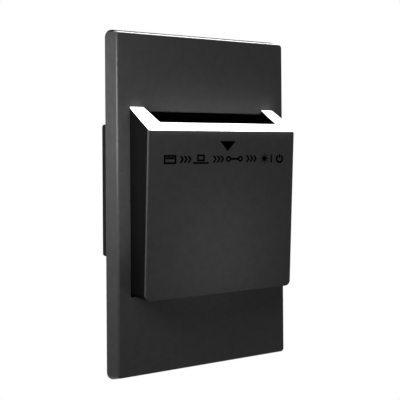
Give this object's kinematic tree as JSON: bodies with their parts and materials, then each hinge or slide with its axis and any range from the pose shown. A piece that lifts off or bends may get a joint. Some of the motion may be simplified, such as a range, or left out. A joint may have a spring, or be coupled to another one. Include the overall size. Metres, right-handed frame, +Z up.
{
  "type": "hotel key card switch",
  "caption": "Wall switch for a guest room: a plate with a card pocket whose lit rim guides a key card onto a sprung lever that turns the room power on.",
  "frame": {"origin": "centre of the wall plate in the plane of the wall, midway between the two box screws", "axes": "+Z up, +X to the right seen from the front, +Y into the wall; the front faces -Y"},
  "size_m": [0.082, 0.0633, 0.135],
  "materials": {
    "charcoal_plastic": "fine matte texture",
    "black_plastic": "smooth satin",
    "housing_plastic": "satin moulded",
    "lit_acrylic": "diffusing, lit white from behind",
    "spring_steel": "bright wire",
    "zinc_steel": "zinc plated",
    "zinc_screw": "zinc plated",
    "green_screw": "green passivated",
    "fibre": "pressed fibre",
    "grey_plastic": "moulded",
    "brass": "bright",
    "copper": "bright phosphor bronze",
    "winding_copper": "enamelled wire",
    "board_green": "solder mask",
    "board_white": "white solder mask",
    "lamp_white": "white lamp package",
    "white_acetal": "smooth acetal",
    "red_acetal": "smooth acetal",
    "switch_black": "moulded",
    "relay_blue": "moulded gloss",
    "tin": "tinned",
    "capacitor_yellow": "boxed film capacitor",
    "sleeve_black": "printed sleeve",
    "varistor_blue": "dipped coating",
    "fuse_glass": "glass tube with metal ends",
    "resistor_tan": "lacquered"
  },
  "bodies": {
    "base": {"mounting_frame": "black_plastic", "mounting_strap": "zinc_steel", "wall_screws": "zinc_screw", "screw_retainers": "fibre", "frame_screws": "zinc_screw", "ground_screw": "green_screw", "rear_housing": "housing_plastic", "chassis": "black_plastic", "housing_screws": "zinc_screw", "terminal_block": "grey_plastic", "terminal_clamps": "brass", "terminal_screws": "brass", "terminal_bars": "copper", "circuit_board": "board_green", "board_screws": "zinc_screw", "lever_pin": "spring_steel", "lever_spring": "spring_steel", "switch_case": "switch_black", "switch_cover": "switch_black", "switch_terminals": "tin", "relay_base": "switch_black", "relay_case": "relay_blue", "relay_yoke": "zinc_steel", "relay_bobbin": "white_acetal", "relay_winding": "winding_copper", "relay_terminals": "tin", "film_capacitor": "capacitor_yellow", "electrolytic_capacitor": "sleeve_black", "varistor": "varistor_blue", "fuse": "fuse_glass", "fuse_clips": "tin", "bridge_rectifier": "switch_black", "control_chip": "switch_black", "resistors": "resistor_tan", "lamp_board": "board_white", "lamps": "lamp_white", "header_body": "switch_black", "header_pins": "brass"},
    "cover": {"wall_plate": "charcoal_plastic", "pocket_shell": "black_plastic", "front_panel": "charcoal_plastic", "light_guide": "lit_acrylic", "card_guide": "black_plastic", "push_nuts": "spring_steel"},
    "card_lever": {"card_lever": "white_acetal"},
    "switch_plunger": {"switch_plunger": "red_acetal"},
    "switch_blade": {"switch_blade": "copper"},
    "relay_armature": {"relay_armature": "zinc_steel", "relay_contact_blade": "copper"}
  },
  "joints": [
    {"name": "cover_release", "type": "slide", "parent": "base", "child": "cover", "axis": [0, -1, 0], "range_m": [0, 0.012]},
    {"name": "lever_swing", "type": "hinge", "parent": "base", "child": "card_lever", "pos_m": [0, 0.0006, 0.009], "axis": [1, 0, 0], "range_deg": [0, 11], "stiffness_Nm_per_rad": 0.02, "springref_deg": -17.19, "deforming": ["lever_spring"]},
    {"name": "plunger_press", "type": "slide", "parent": "base", "child": "switch_plunger", "axis": [0, 1, 0], "range_m": [0, 0.00115]},
    {"name": "contact_swing", "type": "hinge", "parent": "base", "child": "switch_blade", "pos_m": [0.0085, 0.00425, -0.0048], "axis": [1, 0, 0], "range_deg": [-7.5, 0]},
    {"name": "armature_pull", "type": "hinge", "parent": "base", "child": "relay_armature", "pos_m": [-0.0142, 0.0229, -0.0073], "axis": [1, 0, 0], "range_deg": [0, 4], "stiffness_Nm_per_rad": 0.005, "springref_deg": -11.46}
  ],
  "couplings": [
    {"joint": "plunger_press", "follows": "lever_swing", "m_per_rad": 0.0054663},
    {"joint": "contact_swing", "follows": "lever_swing", "ratio": -0.65859}
  ]
}
